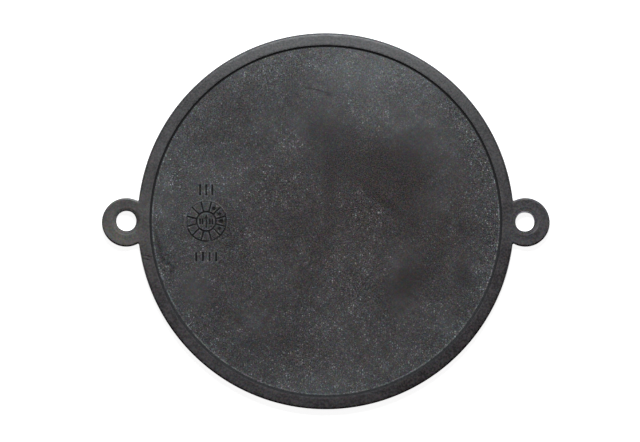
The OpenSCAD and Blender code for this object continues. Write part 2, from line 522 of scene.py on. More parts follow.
seat_r = HOLE_R + SEAT_W
seat_section = [(HOLE_R + out, z) for out, z in HOLE_EDGE] + [(seat_r + out, z) for out, z in SEAT_WALL]
print("seat", round(seat_r, 2), "mm in radius, floor at", SEAT_WALL[0][1], "mm, at the hole", HOLE_EDGE[0][1])

# %% [markdown]
# Nothing moulded in rubber is quite flat. The web has slow waves a few hundredths of a millimetre high and a
# faint bent line near its top, where two flows of rubber met in the mould. The rim has two creases under the
# left lug, and the web is scuffed beside them.
# They could be a bump in the finish, but as real heights the light and the exported mesh show them too.

# %% Waves, creases and scuffs
WAVE = 0.035
WAVE_LENGTH = 15
RIPPLE = 0.4
RIPPLE_LENGTH = 6
RIM_WAVE = 0.012
RIM_WAVE_LENGTH = 5
CREASES = [(-6.65, -0.15), (-7.25, -0.35)]
CREASE_HALF_W = 0.16
CREASE_DROP = 0.012
CREASE_X = (-35.9, -34.65)
CREASE_FADE = 0.6
SCUFF = (-30.6, -8.6)
SCUFF_R = 1.9
SCUFF_FLATTER = 0.8
SCUFF_DROP = 0.1
SCUFF_GRAIN = 0.55
SCUFF_SUNK = 0.3
FLOW_LINE = (-1.9, 25.8, 2.6)
FLOW_LINE_SLOPE = -0.25
FLOW_LINE_BEND = -0.026
FLOW_LINE_DROP = 0.05
FLOW_LINE_HALF_W = 0.2


def web_faults(x, y):
    """How far the web's front is above or below a true plane."""
    z = WAVE * (wave(x, y, WAVE_LENGTH, seed=1.3) + RIPPLE * wave(x, y, RIPPLE_LENGTH, seed=7.1))
    scuff_gap = math.hypot(x - SCUFF[0], (y - SCUFF[1]) * SCUFF_FLATTER) / SCUFF_R
    if scuff_gap < 1:
        z += SCUFF_DROP * (1 - soften(scuff_gap)) * (wave(x, y, SCUFF_GRAIN, seed=3.7) - SCUFF_SUNK)
    line_x, line_y, line_half = FLOW_LINE
    off = x - line_x
    if abs(off) < line_half:
        bend = FLOW_LINE_SLOPE * off + FLOW_LINE_BEND * off ** 2
        fade = 1 - soften(abs(off) / line_half)
        z -= FLOW_LINE_DROP * fade * groove(abs(y - line_y - bend), FLOW_LINE_HALF_W)
    return z


def rim_faults(x, y):
    """How far the rim's front is below its true plane."""
    z = RIM_WAVE * (wave(x, y, RIM_WAVE_LENGTH, seed=11.9) - 1)
    if CREASE_X[0] < x < CREASE_X[1]:
        fade = soften((x - CREASE_X[0]) / CREASE_FADE)
        for crease_y, slant in CREASES:
            z -= CREASE_DROP * fade * groove(abs(y - crease_y - slant * (x - CREASE_X[0])), CREASE_HALF_W)
    return z


print("web waves of", WAVE, "mm, rim waves of", RIM_WAVE, "mm")

# %% [markdown]
# Now the two rules themselves. The front starts from the top of the rim and takes away the rounded edge, the
# step, the seats, the engraving and the faults. The back starts from the plane that the bead stands on.

# %% Height of front and back
SATIN, DUSTY, BACK, CREVICE = range(4)
CUT_SHOWS = 0.42
FAULTS_BLEND = 1.5
LUG_CLEAR = 0.3
LUG_BLEND = 2

wall_r = disc_r - FLASH


def engraving(x, y):
    """How deep the dial and the strokes are cut at a place."""
    return max(dial_drop(x - dial_x, y), stroke_drop(x, y))


def finish_of(x, y):
    """Which finish a place on the front has."""
    step_distance = recess_r - math.hypot(x, y)
    if step_distance < -LIP_ROUND:
        return SATIN
    # The groove and the deeper cuts take the crevice finish, whose darker black is painted shade.
    if step_distance < FOOT_W:
        return CREVICE
    return CREVICE if engraving(x, y) > LINE_DROP * CUT_SHOWS else DUSTY


def in_web(x, y):
    """Whether a place lies on the flat of the web, away from any cut."""
    return finish_of(x, y) == DUSTY


def front_round(x, y):
    """The edge's rounding, which shrinks where the disc's edge comes up to a lug."""
    off_lug = soften((math.hypot(abs(x) - lug_x, y) - LUG_R - LUG_CLEAR) / LUG_BLEND)
    return LUG_FRONT_ROUND + off_lug * (FRONT_ROUND - LUG_FRONT_ROUND)


def front_height(x, y):
    """Height of the front over the table."""
    z = rim_top - round_over(edge_distance(x, y) - FLASH, front_round(x, y))
    step_distance = recess_r - math.hypot(x, y)
    z += along(step_section, step_distance)
    depth = soften(step_distance / FAULTS_BLEND)
    if depth > 0:
        z += depth * web_faults(x, y) - engraving(x, y)
    if depth < 1:
        z += (1 - depth) * rim_faults(x, y)
    z += along(seat_section, math.hypot(abs(x) - lug_x, y))
    return z


def back_height(x, y):
    """Height of the back over the table."""
    r = math.hypot(x, y)
    if r > wall_r + DRAFT / 2:
        return lug_back + round_over(edge_distance(x, y) - FLASH, LUG_BACK_ROUND)
    z = round_over(wall_r - r, BEAD_ROUND) + along(bead_section, disc_r - r)
    if r < disc_r - BEAD_W - WEB_FILLET:
        z += WAVE * wave(x, y, WAVE_LENGTH, seed=21.3)
    return z


print("front at the middle", round(front_height(0, 0), 2), "mm, back", round(back_height(0, 0), 2), "mm")

# %% [markdown]
# The plan is a set of places: rings where an edge bends, fine patches where something small is cut, and a
# loose honeycomb everywhere else. Triangles are then fitted between them.
# A grid fine enough for the engraving would need millions of points, and this plan needs eighty thousand.

# %% Places on the plan
ROW_RATIO = math.sqrt(0.75)


class Plan:
    """Places and ring lines, to be joined by triangles."""

    def __init__(self):
        self.places = []
        self.lines = []
        self.patches = []

    def ring(self, places, closed=True):
        """Lays a ring or an arc, whose lines no triangle may cross."""
        start = len(self.places)
        count = len(places)
        self.places += places
        self.lines += [(start + i, start + (i + 1) % count) for i in range(count if closed else count - 1)]

    def honeycomb(self, x, y, radius, gap, wanted):
        """Fills a round area, skipping earlier patches and what isn't wanted."""
        rows = int(radius / (gap * ROW_RATIO))
        for j in range(-rows, rows + 1):
            py = y + j * gap * ROW_RATIO
            half = math.sqrt(max(0.0, radius ** 2 - (py - y) ** 2))
            for i in range(-int(half / gap) - 1, int(half / gap) + 2):
                px = x + (i + 0.5 * (j % 2)) * gap
                if abs(px - x) > half or not wanted(px, py):
                    continue
                if any(math.hypot(px - cx, py - cy) < cr + gap / 2 for cx, cy, cr in self.patches):
                    continue
                self.places.append((px, py))

    def patch(self, x, y, radius, gap, wanted=lambda px, py: True):
        """A round area of its own fineness, which later honeycombs leave free."""
        self.honeycomb(x, y, radius, gap, wanted)
        self.patches.append((x, y, radius))


def circle(x, y, radius, steps):
    return arc(x, y, radius, 0, 2 * math.pi, steps)


print("plan tools ready")

# %% [markdown]
# The front plan. Its first ring is the wall's top edge, which the side walls will hang from. Rings follow
# every edge and the dial. Finer patches lie under the strokes, the scuff, the creases, the flow line, and the
# dark line that the finish draws beside the left lug. Two honeycombs fill the rest.

# %% Front plan
DISC_STEPS = 960
HOLE_STEPS = 120
DIAL_STEPS = 360
DIAL_GAP = 0.06
WEB_GAP = 0.55
RIM_GAP = 0.4
FINE_GAP = 0.08
SEAT_MARGIN = 0.15
RIDGE_REACH = 1.3
STROKE_REACH = 0.65
SCUFF_GAP = 0.16
LUG_LINE = (-32.7, -4.6, 2.6)
LUG_LINE_GAP = 0.2
CREASE_REACH = 1.3
FLOW_LINE_MARGIN = 0.3
FLOW_LINE_GAP = 0.12

front_plan = Plan()
front_plan.ring(edge)
for inset in quarter_round(FRONT_ROUND):
    front_plan.ring(outline(FLASH + inset))
for distance, _ in step_section:
    front_plan.ring(circle(0, 0, recess_r - distance, DISC_STEPS))
for side in (1, -1):
    for radius, _ in seat_section:
        front_plan.ring(circle(side * lug_x, 0, radius, HOLE_STEPS))
    front_plan.patches.append((side * lug_x, 0, seat_r + SEAT_MARGIN))

dial_edge = RIDGE_R + RIDGE_HALF_W * RIDGE_REACH
ring_count = round((dial_edge - HUB_R + LINE_W) / DIAL_GAP)
for i in range(ring_count + 1):
    front_plan.places += circle(dial_x, 0, HUB_R - LINE_W + i * DIAL_GAP, DIAL_STEPS)
front_plan.patch(dial_x, 0, HUB_R - LINE_W - DIAL_GAP, DIAL_GAP)
front_plan.patches.append((dial_x, 0, dial_edge + DIAL_GAP))
for x, y, height in strokes:
    front_plan.patch(x, y, height * STROKE_REACH, FINE_GAP)
front_plan.patch(*SCUFF, SCUFF_R, SCUFF_GAP, in_web)
front_plan.patch(*LUG_LINE, LUG_LINE_GAP, in_web)


def clear_web(x, y):
    return math.hypot(x, y) < recess_r - step_end - WEB_GAP / 3


def clear_rim(x, y):
    outside_step = math.hypot(x, y) > recess_r + LIP_ROUND + RIM_GAP / 3
    return outside_step and edge_distance(x, y) > FLASH + FRONT_ROUND + RIM_GAP / 3


crease_x = sum(CREASE_X) / 2
crease_y = (CREASES[0][0] + CREASES[1][0]) / 2
line_x, line_y, line_half = FLOW_LINE
front_plan.patch(crease_x, crease_y, CREASE_REACH, FINE_GAP, clear_rim)
front_plan.patch(line_x, line_y, line_half + FLOW_LINE_MARGIN, FLOW_LINE_GAP, clear_web)
front_plan.honeycomb(0, 0, recess_r, WEB_GAP, clear_web)
front_plan.honeycomb(0, 0, part_high.x / MM, RIM_GAP, clear_rim)
print("front plan:", len(front_plan.places), "places,", len(front_plan.lines), "ring lines")

# %% [markdown]
# The back plan has the same edge, full rings for the bead, and short arcs under each lug, where the wall of
# the disc goes on down past the lug's underside. These hidden arcs end just inside the lug's outline, because
# an arc that crosses it would leave the mesh open there.

# %% Back plan
BACK_STEPS = 720
BACK_GAP = 1.1
HIDDEN_STEPS = 48
HIDDEN_SHARE = 0.97
HOLE_BAND = 0.05
NEAR_HOLE = 0.2
NEAR_WALL = 0.3
NEAR_FILLET = 0.4

hidden_swing = root_swing * HIDDEN_SHARE
back_plan = Plan()
back_plan.ring(edge)
for inset in quarter_round(LUG_BACK_ROUND, 4):
    loop = outline(FLASH + inset)
    for side in (1, -1):
        on_lug = [(x, y) for x, y in loop if x * side > 0 and math.hypot(x, y) > wall_r + DRAFT * 3]
        back_plan.places += on_lug
for inset in quarter_round(BEAD_ROUND):
    back_plan.ring(circle(0, 0, wall_r - inset, BACK_STEPS))
for distance, _ in bead_section:
    back_plan.ring(circle(0, 0, disc_r - distance, BACK_STEPS))
for middle in (lug_bearing, math.pi - lug_bearing):
    for radius in (wall_r, wall_r + DRAFT):
        hidden = arc(0, 0, radius, middle - hidden_swing, middle + hidden_swing, HIDDEN_STEPS)
        back_plan.ring(hidden, closed=False)
for side in (1, -1):
    for radius in (HOLE_R, HOLE_R + HOLE_BAND):
        back_plan.ring(circle(side * lug_x, 0, radius, HOLE_STEPS))
    back_plan.patches.append((side * lug_x, 0, HOLE_R + NEAR_HOLE))


def clear_back(x, y):
    r = math.hypot(x, y)
    if r > wall_r:
        return r > wall_r + NEAR_WALL and edge_distance(x, y) > FLASH + LUG_BACK_ROUND + NEAR_HOLE
    bead_flat = disc_r - bead_in + NEAR_WALL < r < wall_r - BEAD_ROUND - NEAR_WALL
    return bead_flat or r < disc_r - BEAD_W - DRAFT - WEB_FILLET - NEAR_FILLET


back_plan.honeycomb(0, 0, part_high.x / MM, BACK_GAP, clear_back)
print("back plan:", len(back_plan.places), "places,", len(back_plan.lines), "ring lines")

# %% [markdown]
# Delaunay's rule joins the places by triangles that are as even as can be, and never crosses a ring line.
# It also fills the screw holes and the corners outside the lugs, and those triangles are thrown away.

# %% Fit triangles
SLACK = 0.001
WHOLE_PLAN = 0
SAME_PLACE = 1e-6


def on_rubber(x, y):
    """Whether there is rubber at a place, and no hole or open corner."""
    outside_holes = math.hypot(abs(x) - lug_x, y) > HOLE_R - SLACK
    return outside_holes and edge_distance(x, y) > FLASH - SLACK


def triangulate(plan):
    """The points that the places became, the triangles on rubber, and the number of each place's point."""
    flat = [Vector(place) for place in plan.places]
    found, _, faces, sources, _, _ = delaunay_2d_cdt(flat, plan.lines, [], WHOLE_PLAN, SAME_PLACE, True)
    number = {source: i for i, group in enumerate(sources) for source in group}
    kept = []
    for face in faces:
        x = sum(found[i].x for i in face) / 3
        y = sum(found[i].y for i in face) / 3
        if on_rubber(x, y):
            kept.append(tuple(face))
    return found, kept, number


front_found, front_faces, front_number = triangulate(front_plan)
back_found, back_faces, back_number = triangulate(back_plan)
print("front", len(front_faces), "triangles, back", len(back_faces), "triangles")

# %% [markdown]
# The places get their heights, and each triangle of the front gets the finish that its middle has.
# Faces could be picked by hand for each finish, but the rule that knows the groove and the engraving does it
# exactly.

# %% Front and back faces
vertices = [(p.x, p.y, front_height(p.x, p.y)) for p in front_found]
back_start = len(vertices)
vertices += [(p.x, p.y, back_height(p.x, p.y)) for p in back_found]
faces = list(front_faces)
slots = []
for face in front_faces:
    x = sum(vertices[i][0] for i in face) / 3
    y = sum(vertices[i][1] for i in face) / 3
    slots.append(finish_of(x, y))
faces += [tuple(back_start + i for i in reversed(face)) for face in back_faces]
slots += [BACK] * len(back_faces)
print("faces: satin", slots.count(SATIN), "dusty", slots.count(DUSTY), "crevice", slots.count(CREVICE))

# %% [markdown]
# Front and back are joined by a wall. Half way up runs the thin flash where the mould opens. A modifier that
# thickens a sheet would close the side too, but as a stack of rings the wall has its flash at once.

# %% Outer wall
PARTING_Z = 2.0
FLASH_HALF_H = 0.12


def add_ring(places, z):
    """Adds a level ring of points, and gives their numbers."""
    start = len(vertices)
    vertices.extend((x, y, z) for x, y in places)
    return list(range(start, start + len(places)))


def join_rings(rings, inward=False):
    """Quads between rings that run from the front down to the back."""
    for upper, lower in zip(rings, rings[1:]):
        count = len(upper)
        for i in range(count):
            j = (i + 1) % count
            quad = (upper[i], lower[i], lower[j], upper[j])
            faces.append(tuple(reversed(quad)) if inward else quad)
            slots.append(SATIN)


def ring_numbers(plan, number, start, ring):
    """Vertex numbers of a ring that was laid in a plan."""
    first = plan.places.index(ring[0])
    return [start + number[first + i] for i in range(len(ring))]


outer_walls = [
    ring_numbers(front_plan, front_number, 0, edge),
    add_ring(outline(FLASH), PARTING_Z + FLASH_HALF_H),
    add_ring(outline(0), PARTING_Z),
    add_ring(outline(FLASH), PARTING_Z - FLASH_HALF_H),
    ring_numbers(back_plan, back_number, back_start, edge)]
join_rings(outer_walls)
print("outer wall of", len(outer_walls), "rings")

# %% [markdown]
# In the screw holes the flash leaves a ragged lip: thin and half way down on the left, and wider, squarer and
# turned up just below the front on the right, most of all at its upper right. A torn lip could be sculpted,
# but a ring whose radius leans to one side, is a little square and has some noise does it.
# A lip's section is a list of places between the hole's wall, 0, and the lip's inner edge, 1, and of heights.

# %% Flash in the screw holes
LEFT_LIP_HALF_T = 0.02
LIP_RAGGED = 0.2
LIP_RAGS = 1.5
LIP_SQUARE = 0.8
LIP_LEAST = 0.01
LIPS = {
    -1: {"width": 0.14, "lean": (0.024, 0.055), "section": [
        (0, PARTING_Z + FLASH_HALF_H), (1, PARTING_Z + LEFT_LIP_HALF_T),
        (1, PARTING_Z - LEFT_LIP_HALF_T), (0, PARTING_Z - FLASH_HALF_H)]},
    1: {"width": 0.25, "lean": (-0.113, -0.085), "section": [
        (0, 3.04), (0.12, 3.05), (0.85, 3.11), (1, 3.10), (1, 3.02), (0, 2.94)]},
}


def lip_ring(side, share):
    """A ring of the flash in a hole, whose inner edge is uneven, a little square, and wider on one side."""
    width = LIPS[side]["width"]
    lean_x, lean_y = LIPS[side]["lean"]
    ring = []
    for x, y in circle(0, 0, 1, HOLE_STEPS):
        square = 1 / (abs(x) ** 4 + abs(y) ** 4) ** 0.25 - 1
        ragged = LIP_RAGGED * width * noise.noise(Vector((x * LIP_RAGS, y * LIP_RAGS, side)))
        reach = width - ragged - lean_x * x - lean_y * y - square * width * LIP_SQUARE
        radius = HOLE_R - share * max(reach, LIP_LEAST)
        ring.append((side * lug_x + x * radius, y * radius))
    return ring


for side in LIPS:
    hole = circle(side * lug_x, 0, HOLE_R, HOLE_STEPS)
    hole_walls = [ring_numbers(front_plan, front_number, 0, hole)]
    hole_walls += [add_ring(lip_ring(side, share), z) for share, z in LIPS[side]["section"]]
    hole_walls.append(ring_numbers(back_plan, back_number, back_start, hole))
    join_rings(hole_walls, inward=True)
print("skin:", len(vertices), "points,", len(faces), "faces")

# %% [markdown]
# Dust settles along the edges of the engraving and draws a pale line beside each dark one. On the ridge round
# the dial it lies where the outer ring is faint, the side that faces the lamp, so the ridge there is pale
# with dust and a painted highlight. The part's outer edge has a painted highlight, a paler colour, over its
# upper half, which faces the lamp, and painted shade over its lower half, where it is dull and black.
# A node can't tell how far a place is from a groove or from the edge, but the drawing rules can. So these
# amounts are rules as well.

# %% Rules for dust and painted edge light
EDGE_DUST_OUT = 0.13
EDGE_DUST_HALF_W = 0.14
# How strong the ridge's dust and painted highlight are, on the side that faces the lamp.
RIDGE_DUST_AND_HIGHLIGHT = 1.4
DUST_HALF_AREA = (RIDGE_R + 1, DIAL_R + 6)
PAINTED_EDGE_LIGHT_W = 0.55


def dust_and_ridge_highlight(x, y):
    """How much dust lies beside the engraving, where 1 is a full line of it, and how much dust and painted
    highlight lies on the dial's ridge, on its side that faces the lamp.
    """
    if abs(x - dial_x) > DUST_HALF_AREA[0] or abs(y) > DUST_HALF_AREA[1]:
        return 0.0
    gap = abs(stroke_gap(x, y) - STROKE_W / 2 - EDGE_DUST_OUT)
    r = math.hypot(x - dial_x, y)
    if r < DIAL_R:
        gap = min(gap, abs(dial_gap(x - dial_x, y) - LINE_W / 2 - EDGE_DUST_OUT))
    ridge = 1 - soften(abs(r - RIDGE_R) / RIDGE_HALF_W)
    return max(1 - soften(gap / EDGE_DUST_HALF_W), RIDGE_DUST_AND_HIGHLIGHT * ridge * faint_side(x - dial_x, y))


def painted_edge_light(x, y):
    """Painted edge light: 1 on the outer edge where it faces up the picture, a painted highlight, -1 where it
    faces down, painted shade, and 0 away from it.
    """
    distance = edge_distance(x, y) - FLASH
    if distance > PAINTED_EDGE_LIGHT_W:
        return 0.0
    up = (edge_distance(x, y - PAINTED_EDGE_LIGHT_W / 2) - edge_distance(x, y + PAINTED_EDGE_LIGHT_W / 2)) / PAINTED_EDGE_LIGHT_W
    return up * (1 - soften(distance / PAINTED_EDGE_LIGHT_W))


print("edge at the top is rubbed by", round(painted_edge_light(0, disc_r - FLASH), 2))

# %% [markdown]
# The lists become one closed mesh, in metres, with smooth shading. Every edge already has its own rounding,
# so no bevel or sharp edge is marked. The amounts are stored on the mesh's points, where nodes can read them.

# %% Make the skin
skin_mesh = bpy.data.meshes.new("diaphragm_skin")
skin_mesh.from_pydata([(x * MM, y * MM, z * MM) for x, y, z in vertices], [], faces)
skin_mesh.polygons.foreach_set("material_index", slots)
skin_mesh.polygons.foreach_set("use_smooth", [True] * len(faces))
skin_mesh.validate()
skin_mesh.update()


def store_on_skin(name, rule, points):
    """Keeps the amount that a rule gives for each of the first points of the skin, and 0 for the others."""
    amounts = [rule(x, y) for x, y, _ in vertices[:points]]
    kept = skin_mesh.attributes.new(name, "FLOAT", "POINT")
    kept.data.foreach_set("value", amounts + [0.0] * (len(vertices) - points))


store_on_skin("dust_and_ridge_highlight", dust_and_ridge_highlight, back_start)
store_on_skin("painted_edge_light", painted_edge_light, back_start)
skin = bpy.data.objects.new("diaphragm_skin", skin_mesh)
bpy.context.scene.collection.objects.link(skin)
print("skin mesh:", sum(len(p.vertices) - 2 for p in skin_mesh.polygons), "triangles")

# %% [markdown]
# All the rubber is one compound, so rim, groove, web and back share one recipe. They differ in how the mould
# and the handling left them.
# A finish could be a painted picture, but nodes that work in millimetres on the part itself stay sharp, and
# their marks keep their size from any side.

# %% Rubber recipe
BLACK = (0.0180, 0.0155, 0.0160, 1)
BLOOM = (0.29, 0.305, 0.32, 1)
RUBBER_IOR = 1.52


def rubber(name):
    """A new finish, its node tree, its place in millimetres, and its shader."""
    material = bpy.data.materials.new(name)
    material.use_nodes = True
    tree = material.node_tree
    tree.nodes.clear()
    place = add_node(tree, "ShaderNodeTexCoord").outputs["Object"]
    in_mm = add_node(tree, "ShaderNodeVectorMath", {0: place, "Scale": 1 / MM}, operation="SCALE")
    shader = add_node(tree, "ShaderNodeBsdfPrincipled", {"IOR": RUBBER_IOR})
    add_node(tree, "ShaderNodeOutputMaterial", {"Surface": shader.outputs[0]})
    return material, tree, in_mm.outputs[0], shader


def stored(tree, name):
    """An amount that was stored on the skin's points."""
    return add_node(tree, "ShaderNodeAttribute", attribute_name=name).outputs["Fac"]


def grain(tree, place, per_mm, detail=2.0, roughness=0.5):
    """Soft noise round a half, with so many grains to a millimetre."""
    inputs = {"Vector": place, "Scale": per_mm, "Detail": detail, "Roughness": roughness}
    return add_node(tree, "ShaderNodeTexNoise", inputs).outputs["Fac"]


def bump(tree, shader, height, drop_mm):
    """Shades the surface as if it had a relief of so many millimetres."""
    relief = add_node(tree, "ShaderNodeBump", {"Height": height, "Strength": 1.0, "Distance": drop_mm * MM})
    tree.links.new(relief.outputs[0], shader.inputs["Normal"])


print("recipe ready: black", BLACK[:3], "bloom", BLOOM[:3])

# %% [markdown]
# No part of old rubber has one even colour. Its black has a fine lighter and darker grain, and the bloom of
# wax and dust on it is a little warmer in one blotch and cooler in the next.
# One flat colour under a bump would look like plastic, so each colour gets a noise of its own.

# %% Uneven colours
TINTS_PER_MM = 2.4
MIX_A = 6
MIX_B = 7
MIX_RESULT = 2


def mix_colour(tree, amount, a, b):
    """Colour a, or colour b where the amount is 1. The Mix node keeps its colours in the numbered sockets."""
    blend = add_node(tree, "ShaderNodeMix", {"Factor": amount, MIX_A: a, MIX_B: b}, data_type="RGBA")
    return blend.outputs[MIX_RESULT]


def tinted(tree, place, colour, depth):
    """The colour with faint warm and cool blotches."""
    blotches = add_node(tree, "ShaderNodeTexNoise", {"Vector": place, "Scale": TINTS_PER_MM, "Detail": 1.0})
    spread = {0: blotches.outputs["Color"], 1: (2 * depth,) * 3, 2: (1 - depth,) * 3}
    factor = add_node(tree, "ShaderNodeVectorMath", spread, operation="MULTIPLY_ADD").outputs[0]
    return add_node(tree, "ShaderNodeVectorMath", {0: colour, 1: factor}, operation="MULTIPLY").outputs[0]


def uneven_black(tree, place, per_mm, depth, strength=1.0):
    """The compound's black, with fine lighter and darker grain."""
    dark = tuple(c * (1 - depth) for c in BLACK[:3]) + (1,)
    pale = tuple(c * (1 + depth) for c in BLACK[:3]) + (1,)
    fine = remap(tree, grain(tree, place, per_mm, 2, 0.7), 0.36, 0.64, -0.5, 0.5)
    return mix_colour(tree, calc(tree, "ADD", calc(tree, "MULTIPLY", fine, strength), 0.5), dark, pale)


print("colours vary", TINTS_PER_MM, "times to a millimetre")

# %% [markdown]
# Handling and wiping leave broad spots with vague edges. Noise alone would put them anywhere, so each spot is
# written down where the photo has it: the place of its middle, its half width and half height in millimetres,
# the amount in its middle and, where it lies askew, its turn in degrees.
# Nodes for a hundred spots would overfill a shader, so each kind is summed up here and stored on the points.

# %% Broad spots
SPOT_EDGE = (0.2, 1.3)


def spot(x, y, middle_x, middle_y, half_w, half_h, amount, turn=0):
    """The amount in the middle of an oval spot, and 0 outside it, with a vague edge."""
    reach = SPOT_EDGE[1] * max(half_w, half_h)
    if abs(x - middle_x) > reach or abs(y - middle_y) > reach:
        return 0.0
    across, up = turned(x - middle_x, y - middle_y, -math.radians(turn))
    distance = math.hypot(across / half_w, up / half_h)
    return amount * (1 - soften((distance - SPOT_EDGE[0]) / (SPOT_EDGE[1] - SPOT_EDGE[0])))


def spots_sum(x, y, spots):
    return sum(spot(x, y, *values) for values in spots)


print("a spot is full up to", SPOT_EDGE[0], "and ends at", SPOT_EDGE[1], "times its half size")

# %% [markdown]
# The rim and the lugs have lost some gloss to handling, and have a little bloom in places, most of it on the
# left lug. The rim's left and lower left are paler: bloom, and painted light, as that side is lit more. A
# dark arc of painted shade runs beside the left hole, and both creases are darker than the rim round them:
# painted shade.

# %% Bloom, painted light and shade, and gloss of the rim
# Spots of bloom. On the rim's left and lower left they are also painted light, and two spots paint shade.
RIM_HAZE_LIGHT_AND_SHADE = [
    (10.0, 36.0, 16, 6, 0.01), (-36.0, -2.0, 6, 15, 0.045), (-20.0, -30.0, 13, 9, 0.03),
    (-30.0, -20.0, 7, 7, 0.015), (-2.0, -36.0, 16, 7, 0.02), (-39.5, 0.5, 6.5, 6.5, 0.04),
    (-41.2, -2.6, 4.5, 4.0, 0.08), (-42.3, 0.0, 3.5, 4.5, 0.04), (40.5, -2.5, 6, 5, 0.035),
    (37.6, -1.2, 3, 3.5, 0.045), (39.1, 1.0, 2.9, 2.4, 0.1), (-39.5, -3.5, 5, 3, 0.035),
    # The last two spots have amounts below 0: painted shade in the creases.
    (39.2, -3.4, 4, 2, 0.02), (43.0, 0.5, 2.5, 3, 0.03), (-35.1, -6.75, 1.1, 0.14, -0.09, -10),
    (-35.1, -7.4, 0.9, 0.14, -0.05, -8)]
RIM_DULL = [
    (-35.1, -6.75, 1.1, 0.14, 0.35, -10), (-35.1, -7.4, 0.9, 0.14, 0.2, -8), (22.0, -30.0, 14, 12, 0.17),
    (-27.0, 25.0, 9, 9, 0.1), (28.0, 23.0, 12, 12, 0.05), (36.0, -9.0, 5, 12, 0.09),
    (31.0, -18.0, 6, 6, 0.05), (38.7, 3.6, 3, 2, 0.1), (39.4, -2.6, 3, 1.2, 0.3),
    (-40.0, -2.4, 3, 1.2, 0.25, -25)]
# The arc beside the left hole is painted shade: its haze darkens the colour, and its dull takes gloss away.
HOLE_SHADE = {"radius": 2.28, "half_w": 0.2, "towards": math.radians(78), "haze": -0.07, "dull": 0.2}


def hole_shade(x, y):
    """1 in the dark arc beside the left hole, 0 away from it."""
    across = x + lug_x
    ring = groove(abs(math.hypot(across, y) - HOLE_SHADE["radius"]), HOLE_SHADE["half_w"])
    return ring * facing(across, y, HOLE_SHADE["towards"], sideways=0.35, swing=0.9)


def rim_haze_light_and_shade(x, y):
    return spots_sum(x, y, RIM_HAZE_LIGHT_AND_SHADE) + HOLE_SHADE["haze"] * hole_shade(x, y)


def rim_dull(x, y):
    return spots_sum(x, y, RIM_DULL) + HOLE_SHADE["dull"] * hole_shade(x, y)


store_on_skin("rim_haze_light_and_shade", rim_haze_light_and_shade, len(vertices))
store_on_skin("rim_dull", rim_dull, len(vertices))
print("rim:", len(RIM_HAZE_LIGHT_AND_SHADE), "spots of bloom and", len(RIM_DULL), "of lost gloss")

# %% [markdown]
# The rim is smooth, with a soft grain from the mould's steel. Its sheen has a painted reflection tint, a
# touch warm on the lower half and a touch cool on the upper one, and the bloom on the left lug is yellower
# than elsewhere.
# A second lamp could tint the sheen, but it would tint the dull web as well.

# %% Satin rim
BLOOM_LUG = (0.335, 0.337, 0.288, 1)
LUG_BLOOM_X = (-37, -30)
SHEEN_LOW = (1.0, 0.945, 0.985, 1)
SHEEN_HIGH = (0.975, 1.0, 1.0, 1)
SHEEN_Y = (-12, 22)
RIM_ROUGHNESS = (0.37, 0.47)
RIM_GLOSS = 0.46
RIM_CLOUDS_PER_MM = 0.35
RIM_BLOOM = 0.014
RIM_GRAINS_PER_MM = 2.6
RIM_GRAIN = 0.9
RIM_TINT = 0.7
RIM_BUMP = 0.008
# How much paler the painted highlight makes the upper outer edge.
PAINTED_EDGE_HIGHLIGHT = 0.15


def satin_rubber():
    material, tree, place, shader = rubber("rubber_satin")
    across, up, _ = add_node(tree, "ShaderNodeSeparateXYZ", {0: place}).outputs
    cloud = grain(tree, place, RIM_CLOUDS_PER_MM, 3)
    # Painted edge light: more bloom on the upper outer edge, and painted shade on the lower one, where bloom
    # and gloss are taken away.
    painted_edge_light_amount = stored(tree, "painted_edge_light")
    outside_painted_edge_shade = remap(tree, painted_edge_light_amount, -0.5, -0.1)
    # The stored rim amount carries bloom, painted light on the left, and painted shade in the creases and by
    # the hole.
    amount = calc(
        tree, "ADD", remap(tree, cloud, 0.4, 0.7, 0, RIM_BLOOM), stored(tree, "rim_haze_light_and_shade"),
        remap(tree, painted_edge_light_amount, 0.1, 0.8, 0, PAINTED_EDGE_HIGHLIGHT))
    amount = calc(tree, "MULTIPLY", amount, outside_painted_edge_shade)
    black = uneven_black(tree, place, RIM_GRAINS_PER_MM, RIM_GRAIN)
    bloom = mix_colour(tree, remap(tree, across, *LUG_BLOOM_X), BLOOM_LUG, BLOOM)
    colour = tinted(tree, place, mix_colour(tree, amount, black, bloom), RIM_TINT)
    tree.links.new(colour, shader.inputs["Base Color"])
    # Painted reflection tint: the sheen is warmer low down and cooler high up.
    sheen = mix_colour(tree, remap(tree, up, *SHEEN_Y), SHEEN_LOW, SHEEN_HIGH)
    tree.links.new(sheen, shader.inputs["Specular Tint"])
    tree.links.new(remap(tree, cloud, 0.35, 0.65, *RIM_ROUGHNESS), shader.inputs["Roughness"])
    gloss = calc(tree, "SUBTRACT", RIM_GLOSS, stored(tree, "rim_dull"))
    tree.links.new(calc(tree, "MULTIPLY", gloss, outside_painted_edge_shade), shader.inputs["Specular IOR Level"])
    bump(tree, shader, grain(tree, place, 3, 3), RIM_BUMP)
    return material


print("satin rubber, roughness", RIM_ROUGHNESS)

# %% [markdown]
# The groove at the foot of the rim, and the deeper cuts of the engraving. Their colour is painted shade: a
# black darker than the compound's, with little gloss, as light hardly reaches in, and it draws the dark line
# that the photo shows. On the lower side, where the groove's wall faces the lamp, it is paler, painted light,
# and the line fades out there. How far down a place lies is its height divided by its distance from the
# middle.

# %% Painted shade in the groove
# Painted shade, a black darker than the compound's, and on the lower side a paler mix, painted light.
CREVICE_SHADE_BLACK = (0.010, 0.0096, 0.010, 1)
CREVICE_ROUGHNESS = 0.85
CREVICE_GLOSS = 0.15
CREVICE_LOW_SIDE_LIGHT = (0.16, 0.0)
ONLY_GROOVE = (recess_r - 1.2, recess_r - 0.8)
LESS_ON_WALL = (recess_r + 0.1, recess_r - 0.4)


